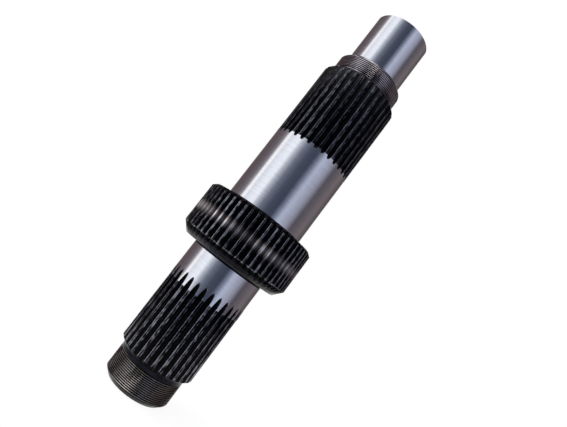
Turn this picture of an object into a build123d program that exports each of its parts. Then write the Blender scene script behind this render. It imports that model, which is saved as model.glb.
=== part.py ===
from build123d import *
import math
import os

# A heavy gearbox shaft made from one steel bar. From the bottom up it has a lock-nut thread, an
# involute spline whose gaps run out into a ground journal, a toothed clutch ring, a longer ground
# journal, a second spline, a short lock-nut thread and a plain journal for the end bearing.
# Millimetres. The axis is Z and the origin is the centre of the lower end face.

# Driving dimensions: diameters
lower_thread_diameter = 56.0
lower_journal_diameter = 65.0
upper_journal_diameter = 70.0
upper_thread_diameter = 60.0
end_journal_diameter = 50.0

# Driving dimensions: lengths along the axis, from the bottom up
lower_thread_length = 25.0
lower_spline_length = 61.5
lower_journal_length = 32.0
ring_width = 44.5
upper_journal_length = 66.0
upper_spline_length = 69.0
upper_thread_length = 16.0
end_journal_length = 48.0

# Driving dimensions: 30 degree involute splines
spline_module = 2.0
spline_pressure_angle = 30.0
lower_cutter_radius = 37.0
lower_runout_reach = 9.5
lower_spline_index = -79.4
upper_cutter_radius = 8.0
upper_runout_reach = 2.5
upper_spline_index = -90.9

# Driving dimensions: toothed clutch ring
ring_module = 1.75
ring_teeth = 54
ring_pressure_angle = 20.0
ring_index = -82.8
ring_chamfer_depth = 5.0
ring_chamfer_length = 6.0

# Driving dimensions: turned details
thread_chamfer = 3.7
spline_chamfer_length = 3.5
thread_end_chamfer = 2.8
journal_chamfer = 2.0
relief_width = 1.8
relief_depth = 0.3
centre_pilot_diameter = 6.3
centre_cone_diameter = 13.2
centre_depth = 16.0
centre_cone_angle = 60.0

# Spline proportions, in modules: how far the tooth tops and the gap bottoms lie below the ground
# diameter that the spline belongs to (measured on the diameter)
spline_tip_drop = 0.2
spline_root_drop = 2.2
ring_tooth_depth = 1.75 * ring_module

# Heights of the shoulders
spline_start = lower_thread_length
lower_journal_start = spline_start + lower_spline_length
ring_start = lower_journal_start + lower_journal_length
ring_end = ring_start + ring_width
upper_spline_start = ring_end + upper_journal_length
upper_spline_end = upper_spline_start + upper_spline_length
upper_thread_end = upper_spline_end + upper_thread_length
total_length = upper_thread_end + end_journal_length

# Radii
lower_thread_radius = lower_thread_diameter / 2
lower_journal_radius = lower_journal_diameter / 2
upper_journal_radius = upper_journal_diameter / 2
upper_thread_radius = upper_thread_diameter / 2
end_journal_radius = end_journal_diameter / 2
spline_tip_step = spline_tip_drop * spline_module / 2
lower_spline_radius = lower_journal_radius - spline_tip_step
upper_spline_radius = upper_journal_radius - spline_tip_step
upper_spline_end_radius = (upper_spline_radius + upper_thread_radius) / 2 - 0.5
ring_radius = ring_module * (ring_teeth + 2) / 2


def involute(angle):
    """The involute function of a pressure angle in radians."""
    return math.tan(angle) - angle


def gap_half_width(radius, pitch_radius, pressure_angle, teeth, thickness):
    """Half the angle, in radians, that the gap between two teeth takes up at a radius."""
    base_radius = pitch_radius * math.cos(pressure_angle)
    angle_there = math.acos(min(1.0, base_radius / radius))
    tooth_half = thickness / (2 * pitch_radius) + involute(pressure_angle) - involute(angle_there)
    return math.pi / teeth - tooth_half


def gap_section(pitch_radius, pressure_angle, teeth, thickness, root_radius, outer_radius):
    """The outline of one gap, on the +X side: two involute flanks and a round bottom."""

    def flank_point(radius, side):
        angle = gap_half_width(radius, pitch_radius, pressure_angle, teeth, thickness)
        return (radius * math.cos(angle), side * radius * math.sin(angle))

    foot_radius = root_radius + 0.22 * (outer_radius - root_radius)
    middle_radius = (foot_radius + outer_radius) / 2
    with BuildSketch() as section:
        with BuildLine():
            for side in (-1, 1):
                ThreePointArc(
                    flank_point(foot_radius, side),
                    flank_point(middle_radius, side),
                    flank_point(outer_radius, side),
                )
            ThreePointArc(flank_point(foot_radius, -1), (root_radius, 0), flank_point(foot_radius, 1))
            Line(flank_point(outer_radius, -1), flank_point(outer_radius, 1))
        make_face()
    return section.sketch


def spline_gap_section(ground_diameter):
    """The gap of an involute spline, proportioned from the ground diameter it belongs to."""
    teeth = spline_tooth_count(ground_diameter)
    pressure_angle = math.radians(spline_pressure_angle)
    pitch_radius = spline_module * teeth / 2
    profile_shift = (ground_diameter - spline_module * (teeth + 1.1)) / 2
    thickness = math.pi * spline_module / 2 + 2 * profile_shift * math.tan(pressure_angle)
    root_radius = ground_diameter / 2 - spline_root_drop * spline_module / 2
    outer_radius = ground_diameter / 2 + 1
    return gap_section(pitch_radius, pressure_angle, teeth, thickness, root_radius, outer_radius)


def spline_tooth_count(ground_diameter):
    """The number of teeth that fits a ground diameter."""
    return round(ground_diameter / spline_module - 1.1)


def milled_gap(ground_diameter, open_height, tip_height, cutter_radius):
    """One spline gap, open at one end and running out at the other along the cutter's own arc.

    The bottom follows the arc of the cutter up to the ground surface, which it reaches at
    tip_height, so that each gap ends in a point.
    """
    depth = spline_root_drop * spline_module / 2
    reach = math.sqrt(2 * cutter_radius * depth - depth**2)
    upward = 1 if tip_height > open_height else -1
    arc_height = tip_height - upward * reach
    arc_angle = math.degrees(math.asin(reach / cutter_radius))
    centre_x = ground_diameter / 2 - depth + cutter_radius
    with BuildPart() as gap:
        with BuildSketch(Plane.XY.offset(arc_height)):
            add(spline_gap_section(ground_diameter))
        extrude(amount=open_height - arc_height)
        with BuildSketch(Plane.XY.offset(arc_height)):
            add(spline_gap_section(ground_diameter))
        revolve(
            axis=Axis((centre_x, 0, arc_height), (0, upward, 0)),
            revolution_arc=1.35 * arc_angle,
        )
    return gap.part


def ring_gap():
    """One gap of the clutch ring, straight through its whole width."""
    pitch_radius = ring_module * ring_teeth / 2
    pressure_angle = math.radians(ring_pressure_angle)
    thickness = math.pi * ring_module / 2
    root_radius = ring_radius - ring_tooth_depth
    section = gap_section(
        pitch_radius, pressure_angle, ring_teeth, thickness, root_radius, ring_radius + 1
    )
    with BuildPart() as gap:
        with BuildSketch(Plane.XY.offset(ring_start)):
            add(section)
        extrude(amount=ring_width)
    return gap.part


lower_gap = milled_gap(
    lower_journal_diameter, 0, lower_journal_start + lower_runout_reach, lower_cutter_radius
)
upper_gap = milled_gap(
    upper_journal_diameter,
    total_length,
    upper_spline_start - upper_runout_reach,
    upper_cutter_radius,
)
clutch_gap = ring_gap()

with BuildPart() as splined_shaft:
    # The turned and ground body
    with BuildSketch(Plane.XZ):
        with BuildLine():
            Polyline(
                (0, 0),
                (lower_thread_radius - thread_chamfer, 0),
                (lower_thread_radius, thread_chamfer),
                (lower_thread_radius, spline_start),
                (lower_spline_radius, spline_start + spline_chamfer_length),
                (lower_spline_radius, lower_journal_start),
                (lower_journal_radius, lower_journal_start),
                (lower_journal_radius, ring_start - relief_width),
                (lower_journal_radius - relief_depth, ring_start - relief_width),
                (lower_journal_radius - relief_depth, ring_start),
                (ring_radius - ring_chamfer_depth, ring_start),
                (ring_radius, ring_start + ring_chamfer_length),
                (ring_radius, ring_end - ring_chamfer_length),
                (ring_radius - ring_chamfer_depth, ring_end),
                (upper_journal_radius - relief_depth, ring_end),
                (upper_journal_radius - relief_depth, ring_end + relief_width),
                (upper_journal_radius, ring_end + relief_width),
                (upper_journal_radius, upper_spline_start),
                (upper_spline_radius, upper_spline_start),
                (upper_spline_radius, upper_spline_end - spline_chamfer_length),
                (upper_spline_end_radius, upper_spline_end),
                (upper_thread_radius, upper_spline_end),
                (upper_thread_radius, upper_thread_end - thread_end_chamfer),
                (upper_thread_radius - thread_end_chamfer, upper_thread_end),
                (end_journal_radius, upper_thread_end),
                (end_journal_radius, total_length - journal_chamfer),
                (end_journal_radius - journal_chamfer, total_length),
                (0, total_length),
                close=True,
            )
        make_face()
    revolve(axis=Axis.Z)

    # The spline gaps and the gaps between the clutch teeth
    with PolarLocations(0, spline_tooth_count(lower_journal_diameter), lower_spline_index):
        add(lower_gap, mode=Mode.SUBTRACT)
    with PolarLocations(0, spline_tooth_count(upper_journal_diameter), upper_spline_index):
        add(upper_gap, mode=Mode.SUBTRACT)
    with PolarLocations(0, ring_teeth, ring_index):
        add(clutch_gap, mode=Mode.SUBTRACT)

    # The lathe centres drilled in both ends
    with Locations(Plane.XY.offset(total_length), Plane.YX):
        CounterSinkHole(
            centre_pilot_diameter / 2,
            centre_cone_diameter / 2,
            centre_depth,
            centre_cone_angle,
        )

splined_shaft.part.label = "splined_shaft"
os.makedirs("parts", exist_ok=True)
export_step(splined_shaft.part, "parts/splined_shaft.step")
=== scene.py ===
"""A ground and splined gearbox shaft, standing on its lower threaded end."""

import math

import bmesh
import bpy
from mathutils import Matrix, Vector


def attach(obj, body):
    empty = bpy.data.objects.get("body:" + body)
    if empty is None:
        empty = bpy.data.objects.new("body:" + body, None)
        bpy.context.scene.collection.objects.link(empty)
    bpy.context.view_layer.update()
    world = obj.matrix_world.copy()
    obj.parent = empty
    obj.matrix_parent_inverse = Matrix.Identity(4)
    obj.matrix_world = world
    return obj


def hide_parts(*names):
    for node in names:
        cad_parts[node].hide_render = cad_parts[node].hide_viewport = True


MM = 0.001

# Heights along the shaft, from its lower end face
THREAD_TOP = 22 * MM
LOWER_SPLINE = 25 * MM
LOWER_SHOULDER = 86.5 * MM
RING_BOTTOM = 118.5 * MM
RING_TOP = 163 * MM
UPPER_SHOULDER = 229 * MM
UPPER_SPLINE_TOP = 298 * MM
UPPER_THREAD_TOP = 314 * MM

# Radii
LOWER_THREAD = 28 * MM
LOWER_JOURNAL = 32.5 * MM
RING = 49 * MM
UPPER_JOURNAL = 35 * MM
UPPER_THREAD = 30 * MM
END_JOURNAL = 25 * MM

# How far the tooth tops and the grinding reliefs lie below the journal they belong to, how wide
# the reliefs are, and how high the ring's plain rim reaches before its teeth begin
TOOTH_DROP = 0.2 * MM
RELIEF_DROP = 0.3 * MM
RELIEF_WIDTH = 1.8 * MM
PLAIN_RIM = 2.2 * MM

# Teeth: how many, and the bearing of one gap in degrees
LOWER_TEETH = 31
LOWER_FIRST_GAP = -79.4
UPPER_TEETH = 34
UPPER_FIRST_GAP = -90.9
RING_TEETH = 54
RING_FIRST_GAP = -82.8

# The ring's chamfers: the solid's two equal ones, then the lead-in below and the one above
SOLID_CHAMFER_DEPTH = 5 * MM
SOLID_CHAMFER_HEIGHT = 6 * MM
LEAD_IN_DEPTH = 6.5 * MM
LEAD_IN_HEIGHT = 7.5 * MM
TOP_CHAMFER_DEPTH = 3.1 * MM
TOP_CHAMFER_HEIGHT = 2.8 * MM

# The band worn bright round the ring, and its patches of painted reflection, of which one bearing is
# given
BAND_BOTTOM = 134 * MM
BAND_TOP = 150 * MM
BAND_PATCHES = 6
BAND_FIRST_PATCH = -122

# Both lock-nut threads, how much of the pitch their groove takes, and how finely they are divided
THREAD_PITCH = 1.5 * MM
THREAD_DEPTH = 0.8 * MM
GROOVE_SHARE = 1 / 1.12
LOWER_THREAD_CHAMFER = 3.7 * MM
UPPER_THREAD_CHAMFER = 2.8 * MM
STEPS_ROUND = 144
ROWS_PER_PITCH = 8

# The pieces meet inside plain lengths of the shaft
UPPER_THREAD_LOW = UPPER_SPLINE_TOP + 1.2 * MM
END_JOURNAL_LOW = UPPER_THREAD_TOP + 0.3 * MM

# The lathe centre in the lower end face
CENTRE_BORE = 3.15 * MM
CENTRE_MOUTH = 6.6 * MM
CENTRE_CONE_DEPTH = 5.98 * MM
CENTRE_DEPTH = 16 * MM

# The middle's finishes, in the order of its material slots
LOWER_TOOTH, UPPER_TOOTH, RING_TOOTH, GROUND, OILED_AND_SHADED = range(5)

SHAFT_MIDDLE = 180 * MM
FLOOR_RADIUS = 200 * MM
FLOOR_GLOW = 1.1
# How much of a ray's view of the floor is plain white; the rest is matt and takes the shadow
WHITE_TO_THE_CAMERA = 0.85
WHITE_IN_REFLECTIONS = 0.5

# The camera: how far the shaft leans over in its view, how far the shaft's top comes nearer,
# the lens for a 36 mm frame, and where it stands
SLANT = math.radians(52.81)
TILT = math.radians(6.79)
LENS = 29.5
CAMERA_PLACE = (0.010713, -0.376826, 0.132018)

ROOM_STRENGTH = 1.3
# The room round the shaft by bearing, from behind it round by the left, the camera and the right:
# a bright window wall on the left, a dark room in front and a pale wall right of the camera
ROOM = [
    (0.03, "#ffffff"),
    (0.07, "#5a5152"),
    (0.15, "#5b5153"),
    (0.21, "#665f66"),
    (0.245, "#87828b"),
    (0.262, "#ffffff"),
    (0.276, "#ffffff"),
    (0.292, "#d8dee7"),
    (0.33, "#ebf1f9"),
    (0.365, "#f2f7fd"),
    (0.39, "#b4bbc6"),
    (0.43, "#6a7180"),
    (0.48, "#454b5a"),
    (0.535, "#3a4050"),
    (0.565, "#767e92"),
    (0.595, "#b0b8cd"),
    (0.67, "#9093a3"),
    (0.715, "#524e56"),
    (0.82, "#6f676a"),
    (0.90, "#524c4d"),
    (0.93, "#504a4b"),
    (0.97, "#ffffff"),
]


# ---------------------------------------------------------------- materials


def linear(hex_colour):
    """An sRGB hex colour as linear RGBA."""
    parts = [int(hex_colour[i : i + 2], 16) / 255 for i in (1, 3, 5)]
    return [c / 12.92 if c <= 0.04045 else ((c + 0.055) / 1.055) ** 2.4 for c in parts] + [1.0]


def node(tree, kind, inputs=(), stops=(), output=None, **settings):
    """Adds a node and returns its named output, or else the first one in use.

    inputs are values, or sockets to link, in the node's own order or by name or number. stops are
    a colour ramp's positions and hex colours.
    """
    made = tree.nodes.new(kind)
    for name, value in settings.items():
        setattr(made, name, value)
    for position, _ in stops[2:]:
        made.color_ramp.elements.new(position)
    for element, (position, colour) in zip(made.color_ramp.elements if stops else (), stops):
        element.position = position
        element.color = linear(colour)
    for name, value in inputs.items() if isinstance(inputs, dict) else enumerate(inputs):
        if isinstance(value, bpy.types.NodeSocket):
            tree.links.new(value, made.inputs[name])
        else:
            made.inputs[name].default_value = value
    if output:
        return made.outputs[output]
    return next((socket for socket in made.outputs if socket.enabled), None)


def new_material(name, metallic, roughness=0.3):
    """A material with one Principled shader whose constants sit on its own sockets."""
    material = bpy.data.materials.new(name)
    material.use_nodes = True
    tree = material.node_tree
    shader = tree.nodes["Principled BSDF"]
    shader.inputs["Metallic"].default_value = metallic
    shader.inputs["Roughness"].default_value = roughness
    return material, tree, shader


def place_and_radius(tree):
    """The place on the shaft, and its distance from the axis."""
    place = node(tree, "ShaderNodeTexCoord", output="Object")
    flat = node(tree, "ShaderNodeMapping", {"Vector": place, "Scale": (1.0, 1.0, 0.0)})
    return place, node(tree, "ShaderNodeVectorMath", (flat,), output="Value", operation="LENGTH")


def grain(tree, place, size, along=1.0):
    """Noise whose grains are about the given size in metres, and stretched along the shaft."""
    scaled = node(tree, "ShaderNodeMapping", {"Vector": place, "Scale": (1.0, 1.0, 1.0 / along)})
    return node(tree, "ShaderNodeTexNoise", {"Vector": scaled, "Scale": 1.0 / size, "Detail": 3.0})


def oily_roughness(tree, place, clean, thick):
    """Roughness that drifts between clean steel and thick oil over patches of about 5 mm."""
    film = grain(tree, place, 5 * MM)
    return node(tree, "ShaderNodeMapRange", (film, 0.3, 0.7, clean, thick))


def bearing_of(tree, place):
    """The bearing round the shaft in radians, anticlockwise from +X."""
    x = node(tree, "ShaderNodeSeparateXYZ", (place,), output="X")
    y = node(tree, "ShaderNodeSeparateXYZ", (place,), output="Y")
    return node(tree, "ShaderNodeMath", (y, x), operation="ARCTAN2")


def tip_edge_highlights(tree, place, teeth, first_gap, half_top, width):
    """Painted highlight along each tooth's tip edges: strongest on the side the light falls on, and 0
    away from them.

    first_gap is the bearing of a gap in degrees; half_top and width are in tooth pitches.
    """
    turns = (bearing_of(tree, place), teeth / (2 * math.pi), teeth * (2 - first_gap / 360))
    pitches = node(tree, "ShaderNodeMath", turns, operation="MULTIPLY_ADD")
    part = node(tree, "ShaderNodeMath", (pitches,), operation="FRACT")
    off_centre = node(tree, "ShaderNodeMath", (part, 0.5), operation="SUBTRACT")
    distance = node(tree, "ShaderNodeMath", (off_centre,), operation="ABSOLUTE")
    past_edge = node(tree, "ShaderNodeMath", (distance, half_top), operation="SUBTRACT")
    from_edge = node(tree, "ShaderNodeMath", (past_edge,), operation="ABSOLUTE")
    edges = node(tree, "ShaderNodeMapRange", (from_edge, 0.0, width, 1.0, 0.0))
    # Painted highlight: the edge lines are stronger on the side the light falls on
    lit_side = node(tree, "ShaderNodeMapRange", (off_centre, -half_top, half_top, 1.4, 0.35))
    return node(tree, "ShaderNodeMath", (edges, lit_side), operation="MULTIPLY")


def worn_tooth_colours(tree, place, radius, tip_radius, rubbed_depth, edges, colours):
    """Tooth colours from the oily gap to the rubbed top and the painted highlight on the tip edges, all
    speckled.
    """
    rubbed = (radius, tip_radius - rubbed_depth, tip_radius, 0.0, 0.42)
    top = node(tree, "ShaderNodeMapRange", rubbed)
    # Painted highlight: the edge lines show only near the tip
    at_tip = (radius, tip_radius - 0.5 * MM, tip_radius - 0.1 * MM, 0.0, 0.42)
    bare_and_glint = node(tree, "ShaderNodeMapRange", at_tip)
    lines = node(tree, "ShaderNodeMath", (edges, bare_and_glint, top), operation="MULTIPLY_ADD")
    flecks = grain(tree, place, 1.7 * MM, 2.5)
    specks = node(tree, "ShaderNodeMapRange", (flecks, 0.35, 0.65, -0.16, 0.3))
    mixed = node(tree, "ShaderNodeMath", (lines, specks), operation="ADD")
    gap_colour, top_colour, edge_highlight_colour = colours
    stops = [(0.22, gap_colour), (0.5, top_colour), (0.95, edge_highlight_colour)]
    return node(tree, "ShaderNodeValToRGB", (mixed,), stops)


def ground_steel():
    """Cylindrically ground alloy steel: bright, with faint rings round the shaft from the wheel
    and wider smears where it was wiped.

    The wheel's marks are under 0.1 mm apart and are drawn at about 1 mm so that they show.
    """
    material, tree, shader = new_material("ground_steel", 1.0)
    place = node(tree, "ShaderNodeTexCoord", output="Object")
    marks = grain(tree, place, 12 * MM, 0.09)
    colour = node(tree, "ShaderNodeValToRGB", (marks,), [(0.3, "#d6d5d8"), (0.7, "#e0dfe2")])
    smears = grain(tree, place, 30 * MM, 2.0)
    wiped = node(tree, "ShaderNodeMapRange", (smears, 0.4, 0.65, 0.0, 0.06))
    scored = node(tree, "ShaderNodeMath", (marks, 0.06, wiped), operation="MULTIPLY_ADD")
    rough = node(tree, "ShaderNodeMath", (scored, 0.075), operation="ADD")
    tree.links.new(colour, shader.inputs["Base Color"])
    tree.links.new(rough, shader.inputs["Roughness"])
    return material


def toothed_steel(name, journal_radius, teeth, first_gap, colours):
    """Hobbed and hardened steel, black and oily in the gaps and rubbed at the tops, with painted
    highlight along the tip edges.
    """
    material, tree, shader = new_material(name, 0.95)
    place, radius = place_and_radius(tree)
    edges = tip_edge_highlights(tree, place, teeth, first_gap, half_top=0.15, width=0.06)
    tip_radius = journal_radius - TOOTH_DROP
    colour = worn_tooth_colours(tree, place, radius, tip_radius, 0.8 * MM, edges, colours)
    tree.links.new(colour, shader.inputs["Base Color"])
    tree.links.new(oily_roughness(tree, place, 0.18, 0.36), shader.inputs["Roughness"])
    return material


def cut_thread_steel(name, crest_radius, root_colour, crest_colour):
    """Single-point cut thread, lightly oiled: darker in the roots and lighter along the crests, with oil
    stains.
    """
    material, tree, shader = new_material(name, 1.0, 0.2)
    place, radius = place_and_radius(tree)
    flank = (radius, crest_radius - 0.6 * MM, crest_radius - 0.15 * MM)
    crest = node(tree, "ShaderNodeMapRange", flank)
    oil = grain(tree, place, 6 * MM)
    stain = node(tree, "ShaderNodeMapRange", (oil, 0.3, 0.7, -0.2, 0.2))
    mixed = node(tree, "ShaderNodeMath", (crest, stain), operation="ADD")
    colour = node(tree, "ShaderNodeValToRGB", (mixed,), [(0.1, root_colour), (0.9, crest_colour)])
    tree.links.new(colour, shader.inputs["Base Color"])
    return material


def lead_in_nicks_and_glints(tree, place, height):
    """Nicks where mating teeth enter, worn to steel round the top of the ring's lead-in cone and painted
    bright as glints as well.
    """
    cone_top = RING_BOTTOM + LEAD_IN_HEIGHT
    across = node(tree, "ShaderNodeMapRange", (height, cone_top - 0.8 * MM, cone_top + 0.8 * MM))
    stops = [(0.0, "#000000"), (0.5, "#d8d8d8"), (1.0, "#000000")]
    rubbed = node(tree, "ShaderNodeValToRGB", (across,), stops)
    nicks = node(tree, "ShaderNodeMapRange", (grain(tree, place, 2.2 * MM), 0.45, 0.6))
    return node(tree, "ShaderNodeMath", (rubbed, nicks), operation="MULTIPLY")


def painted_reflection_patches(tree, place):
    """Painted reflection: 1 in the middle of each of the band's bright patches, and less between them."""
    start = -BAND_PATCHES * math.radians(BAND_FIRST_PATCH)
    waves = (bearing_of(tree, place), BAND_PATCHES, start)
    phase = node(tree, "ShaderNodeMath", waves, operation="MULTIPLY_ADD")
    wave = node(tree, "ShaderNodeMath", (phase,), operation="COSINE")
    return node(tree, "ShaderNodeMapRange", (wave, -1.0, 1.0, 0.35, 1.0))


def banded_ring_steel():
    """The clutch ring: oily black teeth with painted highlight along their edges, and one worn band
    browned at its sides and brightest in patches of painted reflection.

    The band is smoother than the teeth, so it shines more.
    """
    material, tree, shader = new_material("banded_ring_steel", 0.95)
    place, radius = place_and_radius(tree)
    height = node(tree, "ShaderNodeSeparateXYZ", (place,), output="Z")
    edges = tip_edge_highlights(tree, place, RING_TEETH, RING_FIRST_GAP, half_top=0.11, width=0.07)
    # Gap, top and painted edge-highlight colours of the ring's teeth
    tooth_colours = ("#060608", "#2c2d31", "#a9a9b0")
    teeth = worn_tooth_colours(tree, place, radius, RING, 1.2 * MM, edges, tooth_colours)
    nicked = lead_in_nicks_and_glints(tree, place, height)
    # Painted glint: the lead-in nicks are worn steel, painted bright as glints as well
    bare_and_glint = linear("#b5b3b1")
    ends = node(tree, "ShaderNodeMix", {0: nicked, 6: teeth, 7: bare_and_glint}, data_type="RGBA")
    across_band = node(tree, "ShaderNodeMapRange", (height, BAND_BOTTOM, BAND_TOP))
    brown_to_bright = [
        (0.16, "#4d423d"),
        (0.36, "#a89c96"),
        (0.5, "#d8cfca"),
        (0.66, "#b3a39a"),
        (0.86, "#4a3c35"),
    ]
    worn = node(tree, "ShaderNodeValToRGB", (across_band,), brown_to_bright)
    in_and_out = [(0.14, "#000000"), (0.36, "#ffffff"), (0.66, "#ffffff"), (0.88, "#000000")]
    band = node(tree, "ShaderNodeValToRGB", (across_band,), in_and_out)
    # Painted reflection: the band is brightest in its patches
    share = node(tree, "ShaderNodeMath", (band, painted_reflection_patches(tree, place)), operation="MULTIPLY")
    shade = node(tree, "ShaderNodeMapRange", (radius, RING - 2.6 * MM, RING, 0.25, 1.0))
    held = node(tree, "ShaderNodeMath", (share, shade), operation="MULTIPLY")
    blend = node(tree, "ShaderNodeMix", {0: held, 6: ends, 7: worn}, data_type="RGBA")
    tree.links.new(blend, shader.inputs["Base Color"])
    oily = oily_roughness(tree, place, 0.2, 0.36)
    rough = node(tree, "ShaderNodeMapRange", (held, 0.0, 0.8, oily, 0.12))
    tree.links.new(rough, shader.inputs["Roughness"])
    return material


def oiled_and_shaded_steel():
    """The plain turned faces beside the teeth, black from hardening under a smooth film of oil; on the
    run-outs next to the splines the same black is painted shade.
    """
    material, tree, shader = new_material("oiled_and_shaded_steel", 0.95, 0.28)
    place = node(tree, "ShaderNodeTexCoord", output="Object")
    film = grain(tree, place, 9 * MM)
    colour = node(tree, "ShaderNodeValToRGB", (film,), [(0.3, "#131318"), (0.7, "#22222a")])
    tree.links.new(colour, shader.inputs["Base Color"])
    return material


def white_floor():
    """Plain white studio floor that shows as white and still takes the shaft's shadow."""
    material = bpy.data.materials.new("white_floor")
    material.use_nodes = True
    tree = material.node_tree
    tree.nodes.clear()
    camera_ray = node(tree, "ShaderNodeLightPath", output="Is Camera Ray")
    glossy_ray = node(tree, "ShaderNodeLightPath", output="Is Glossy Ray")
    transmission_ray = node(tree, "ShaderNodeLightPath", output="Is Transmission Ray")
    mirrored = node(tree, "ShaderNodeMath", (glossy_ray, transmission_ray), operation="ADD")
    direct = node(tree, "ShaderNodeMath", (camera_ray, WHITE_TO_THE_CAMERA), operation="MULTIPLY")
    shares = (mirrored, WHITE_IN_REFLECTIONS, direct)
    share = node(tree, "ShaderNodeMath", shares, operation="MULTIPLY_ADD")
    matt = node(tree, "ShaderNodeBsdfDiffuse", (linear("#e4e4e4"),))
    glow = node(tree, "ShaderNodeEmission", (linear("#ffffff"), FLOOR_GLOW))
    choice = node(tree, "ShaderNodeMixShader", (share, matt, glow))
    node(tree, "ShaderNodeOutputMaterial", (choice,))
    return material


# ---------------------------------------------------------------- shapes


def distance_from_axis(spot):
    return math.hypot(spot.x, spot.y)


def mesh_object(name, shape, materials, crease=28.0):
    """An object from a bmesh, with smooth faces and sharp edges past the crease angle."""
    mesh = bpy.data.meshes.new(name)
    shape.to_mesh(mesh)
    shape.free()
    made = bpy.data.objects.new(name, mesh)
    bpy.context.scene.collection.objects.link(made)
    for material in materials:
        mesh.materials.append(material)
    mesh.shade_smooth()
    mesh.set_sharp_from_angle(angle=math.radians(crease))
    return made


def shaft_length(source, low, high):
    """A closed length of the shaft's solid, cut square at both heights (None leaves an end alone)."""
    shape = bmesh.new()
    shape.from_mesh(source.data)
    bmesh.ops.remove_doubles(shape, verts=shape.verts, dist=0.002 * MM)
    for height, keep_above in ((low, True), (high, False)):
        if height is None:
            continue
        cut = bmesh.ops.bisect_plane(
            shape,
            geom=shape.verts[:] + shape.edges[:] + shape.faces[:],
            plane_co=(0, 0, height),
            plane_no=(0, 0, 1),
            clear_inner=keep_above,
            clear_outer=not keep_above,
        )
        rim = [item for item in cut["geom_cut"] if isinstance(item, bmesh.types.BMEdge)]
        bmesh.ops.holes_fill(shape, edges=rim, sides=0)
    return shape


def cut_thread(shape, crest_radius, plain_height):
    """Cuts a right-hand V thread, except at the height where the piece joins the next one."""
    for vert in shape.verts:
        if abs(vert.co.z - plain_height) < 0.01 * MM:
            continue
        turn = math.atan2(vert.co.y, vert.co.x) / (2 * math.pi)
        phase = (vert.co.z / THREAD_PITCH - turn) % 1.0
        groove_radius = crest_radius - THREAD_DEPTH * max(0.0, 1 - abs(2 * phase - 1) / GROOVE_SHARE)
        radius = distance_from_axis(vert.co)
        if radius > groove_radius:
            vert.co.x *= groove_radius / radius
            vert.co.y *= groove_radius / radius


def turned(profile):
    """A solid of revolution round the shaft's axis, from its (height, radius) corners in order."""
    shape = bmesh.new()
    verts = [shape.verts.new((radius, 0, height)) for height, radius in profile]
    edges = [shape.edges.new(pair) for pair in zip(verts[:-1], verts[1:])]
    bmesh.ops.spin(
        shape,
        geom=verts + edges,
        cent=(0, 0, 0),
        axis=(0, 0, 1),
        angle=2 * math.pi,
        steps=STEPS_ROUND,
        use_merge=True,
    )
    bmesh.ops.remove_doubles(shape, verts=shape.verts, dist=0.001 * MM)
    return shape


def fine_profile(low, high, radius_at):
    """Profile corners at even fine steps, where radius_at gives the radius for a height."""
    rows = round((high - low) / THREAD_PITCH * ROWS_PER_PITCH)
    heights = [low + (high - low) * row / rows for row in range(rows + 1)]
    return [(height, radius_at(height)) for height in heights]


def lower_thread():
    """The bottom end: face with its lathe centre and chamfered thread, up to the plain run-out."""
    centre = [
        (CENTRE_DEPTH, 0.0),
        (CENTRE_DEPTH, CENTRE_BORE),
        (CENTRE_CONE_DEPTH, CENTRE_BORE),
        (0.0, CENTRE_MOUTH),
    ]

    def radius_at(height):
        return LOWER_THREAD - max(0.0, LOWER_THREAD_CHAMFER - height)

    outside = fine_profile(0.0, THREAD_TOP, radius_at)
    shape = turned(centre + outside + [(THREAD_TOP, 0.0)])
    cut_thread(shape, LOWER_THREAD, THREAD_TOP)
    bmesh.ops.recalc_face_normals(shape, faces=shape.faces)
    return shape


def upper_thread():
    """The short thread above the upper spline, chamfered down to a shoulder."""

    def radius_at(height):
        return UPPER_THREAD - max(0.0, UPPER_THREAD_CHAMFER - (UPPER_THREAD_TOP - height))

    outside = fine_profile(UPPER_THREAD_LOW, UPPER_THREAD_TOP, radius_at)
    shoulder = [(UPPER_THREAD_TOP, END_JOURNAL), (END_JOURNAL_LOW, END_JOURNAL), (END_JOURNAL_LOW, 0.0)]
    shape = turned([(UPPER_THREAD_LOW, 0.0)] + outside + shoulder)
    cut_thread(shape, UPPER_THREAD, UPPER_THREAD_LOW)
    bmesh.ops.recalc_face_normals(shape, faces=shape.faces)
    return shape


def radial_normals(made, radii):
    """Gives turned faces at the named radii the exact normals of their cylinder."""
    mesh = made.data
    normals = [corner.vector.copy() for corner in mesh.corner_normals]
    for face in mesh.polygons:
        if abs(face.normal.z) > 0.02:
            continue
        spots = [mesh.vertices[mesh.loops[i].vertex_index].co for i in face.loop_indices]
        sizes = [distance_from_axis(spot) for spot in spots]
        if not any(all(abs(size - radius) < 0.02 * MM for size in sizes) for radius in radii):
            continue
        for index, spot in zip(face.loop_indices, spots):
            normals[index] = Vector((spot.x, spot.y, 0)).normalized()
    mesh.normals_split_custom_set(normals)


def reshaped_ring(shape):
    """Gives the clutch ring its long lead-in cone below and its short chamfer above."""
    near = 0.2 * MM
    lead_in_radius = RING - LEAD_IN_DEPTH
    for vert in shape.verts:
        radius = distance_from_axis(vert.co)
        if radius < RING - SOLID_CHAMFER_DEPTH - near:
            continue
        inside_ring = radius < RING - SOLID_CHAMFER_DEPTH + near
        if vert.co.z < RING_BOTTOM + SOLID_CHAMFER_HEIGHT + near:
            if inside_ring:
                vert.co.x *= lead_in_radius / radius
                vert.co.y *= lead_in_radius / radius
                radius = lead_in_radius
            vert.co.z = RING_BOTTOM + (radius - lead_in_radius) * LEAD_IN_HEIGHT / LEAD_IN_DEPTH
        elif vert.co.z > RING_TOP - SOLID_CHAMFER_HEIGHT - near and not inside_ring:
            depth = max(0.0, TOP_CHAMFER_DEPTH - (RING - radius))
            vert.co.z = RING_TOP - depth * TOP_CHAMFER_HEIGHT / TOP_CHAMFER_DEPTH
    return shape


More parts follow.
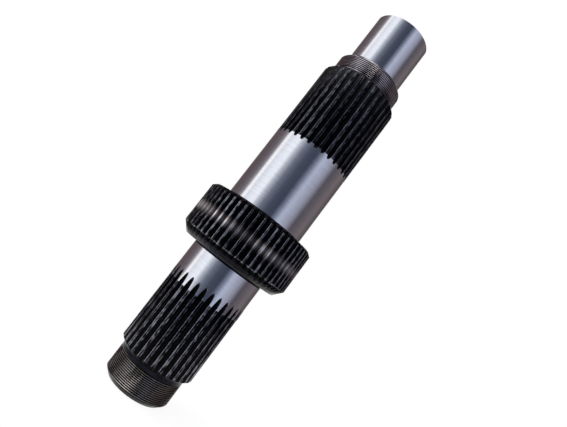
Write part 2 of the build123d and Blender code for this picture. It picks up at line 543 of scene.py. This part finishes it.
def finish_of(height, radius):
    """Which of the middle's finishes a face has, from its middle height and least radius."""
    near = 0.12 * MM
    relief = RELIEF_WIDTH - near
    under_ring = RING_BOTTOM - RELIEF_WIDTH - near < height < RING_BOTTOM + PLAIN_RIM
    over_ring = RING_TOP < height < RING_TOP + relief
    # Painted shade: the run-outs below the lower spline and above the upper one take the black oiled
    # finish as shade next to the splines
    if height < LOWER_SPLINE or height > UPPER_SPLINE_TOP or under_ring or over_ring:
        return OILED_AND_SHADED
    if RING_BOTTOM < height < RING_TOP + near and radius > UPPER_JOURNAL + near:
        return RING_TOOTH
    lower_seat = LOWER_SHOULDER < height < RING_BOTTOM - relief
    if lower_seat and radius > LOWER_JOURNAL - near:
        return GROUND
    upper_seat = RING_TOP + relief < height < UPPER_SHOULDER
    if upper_seat and radius > UPPER_JOURNAL - near:
        return GROUND
    return LOWER_TOOTH if height < RING_BOTTOM else UPPER_TOOTH


def paint_middle(made):
    """Gives each face of the middle its finish."""
    mesh = made.data
    for face in mesh.polygons:
        spots = [mesh.vertices[index].co for index in face.vertices]
        heights = [spot.z for spot in spots]
        radius = min(distance_from_axis(spot) for spot in spots)
        face.material_index = finish_of((min(heights) + max(heights)) / 2, radius)


def softbox(name, place, size, power):
    """A rectangular studio lamp at a place, turned towards the middle of the shaft."""
    light = bpy.data.lights.new(name, "AREA")
    light.shape = "RECTANGLE"
    light.size, light.size_y = size
    light.energy = power
    lamp = bpy.data.objects.new(name, light)
    bpy.context.scene.collection.objects.link(lamp)
    away = Vector(place) - Vector((0, 0, SHAFT_MIDDLE))
    lamp.matrix_world = Matrix.Translation(place) @ away.to_track_quat("Z", "Y").to_matrix().to_4x4()
    return lamp


def studio_world():
    """White to the camera, and the room round the shaft to everything else, so that the ground
    steel has dark and bright walls to mirror. The room is white behind the shaft.
    """
    world = bpy.data.worlds.new("studio")
    world.use_nodes = True
    tree = world.node_tree
    tree.nodes.clear()
    direction = node(tree, "ShaderNodeTexCoord", output="Generated")
    x = node(tree, "ShaderNodeSeparateXYZ", (direction,), output="X")
    y = node(tree, "ShaderNodeSeparateXYZ", (direction,), output="Y")
    towards_camera = node(tree, "ShaderNodeMath", (y, -1.0), operation="MULTIPLY")
    bearing = node(tree, "ShaderNodeMath", (x, towards_camera), operation="ARCTAN2")
    round_room = node(tree, "ShaderNodeMapRange", (bearing, -math.pi, math.pi))
    walls = node(tree, "ShaderNodeValToRGB", (round_room,), ROOM)
    room = node(tree, "ShaderNodeBackground", (walls, ROOM_STRENGTH))
    white = node(tree, "ShaderNodeBackground", (linear("#ffffff"), 1.0))
    camera_ray = node(tree, "ShaderNodeLightPath", output="Is Camera Ray")
    choice = node(tree, "ShaderNodeMixShader", (camera_ray, room, white))
    node(tree, "ShaderNodeOutputWorld", (choice,))
    return world


# ---------------------------------------------------------------- the shaft

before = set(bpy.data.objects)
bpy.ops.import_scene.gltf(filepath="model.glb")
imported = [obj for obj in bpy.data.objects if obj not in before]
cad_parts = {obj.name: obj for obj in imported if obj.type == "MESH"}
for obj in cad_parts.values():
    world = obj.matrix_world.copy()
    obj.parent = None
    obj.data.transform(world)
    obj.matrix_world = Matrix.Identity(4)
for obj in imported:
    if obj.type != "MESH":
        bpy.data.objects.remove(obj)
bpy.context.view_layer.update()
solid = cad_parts["splined_shaft"]

ground = ground_steel()
# Gap, top and painted edge-highlight colours; the lower spline's painted highlight is the brighter
lower_teeth = toothed_steel(
    "oiled_spline_steel", LOWER_JOURNAL, LOWER_TEETH, LOWER_FIRST_GAP, ("#060608", "#242429", "#9a9aa3")
)
upper_teeth = toothed_steel(
    "blacked_spline_steel", UPPER_JOURNAL, UPPER_TEETH, UPPER_FIRST_GAP, ("#060608", "#26262b", "#77777f")
)
ring_steel = banded_ring_steel()
lower_thread_steel = cut_thread_steel("lower_thread_steel", LOWER_THREAD, "#1d1918", "#89837f")
upper_thread_steel = cut_thread_steel("upper_thread_steel", UPPER_THREAD, "#332b2e", "#beb5b9")
solid.data.materials.clear()
solid.data.materials.append(lower_teeth)

middle = mesh_object(
    "splined_middle",
    reshaped_ring(shaft_length(solid, THREAD_TOP, UPPER_THREAD_LOW)),
    [lower_teeth, upper_teeth, ring_steel, ground, oiled_and_shaded_steel()],
)
paint_middle(middle)
turned_radii = [LOWER_THREAD, RING, UPPER_THREAD]
for journal in (LOWER_JOURNAL, UPPER_JOURNAL):
    turned_radii += [journal, journal - TOOTH_DROP, journal - RELIEF_DROP]
radial_normals(middle, turned_radii)

end = mesh_object("end_journal", shaft_length(solid, END_JOURNAL_LOW, None), [ground])
radial_normals(end, [END_JOURNAL])
bottom_thread = mesh_object("lower_thread", lower_thread(), [lower_thread_steel], 35.0)
top_thread = mesh_object("upper_thread", upper_thread(), [upper_thread_steel], 35.0)

for piece in (middle, end, bottom_thread, top_thread):
    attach(piece, "root")
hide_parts("splined_shaft")


# ---------------------------------------------------------------- the studio

floor_shape = bmesh.new()
bmesh.ops.create_circle(floor_shape, cap_ends=True, segments=96, radius=FLOOR_RADIUS)
floor = mesh_object("floor", floor_shape, [white_floor()])

softbox("overhead_softbox", (-0.3, -0.2, 1.4), (0.9, 0.9), 5.0)
window = softbox("window_softbox", (-0.9, 0.1, 0.4), (0.6, 0.9), 7.0)
window.visible_glossy = False
bpy.context.scene.world = studio_world()

# Where the shaft's up and its right point, to the camera's right, up and back
shaft_up = Vector((math.cos(SLANT) * math.cos(TILT), math.sin(SLANT) * math.cos(TILT), -math.sin(TILT)))
shaft_right = Vector((math.sin(SLANT), -math.cos(SLANT), 0.0))
turn = Matrix((shaft_right, shaft_up.cross(shaft_right), shaft_up))
camera_data = bpy.data.cameras.new("camera")
camera_data.sensor_width = 36.0
camera_data.lens = LENS
camera = bpy.data.objects.new("camera", camera_data)
camera.matrix_world = Matrix.Translation(CAMERA_PLACE) @ turn.to_4x4()
bpy.context.scene.collection.objects.link(camera)
bpy.context.scene.camera = camera
bpy.context.scene.view_settings.view_transform = "Standard"
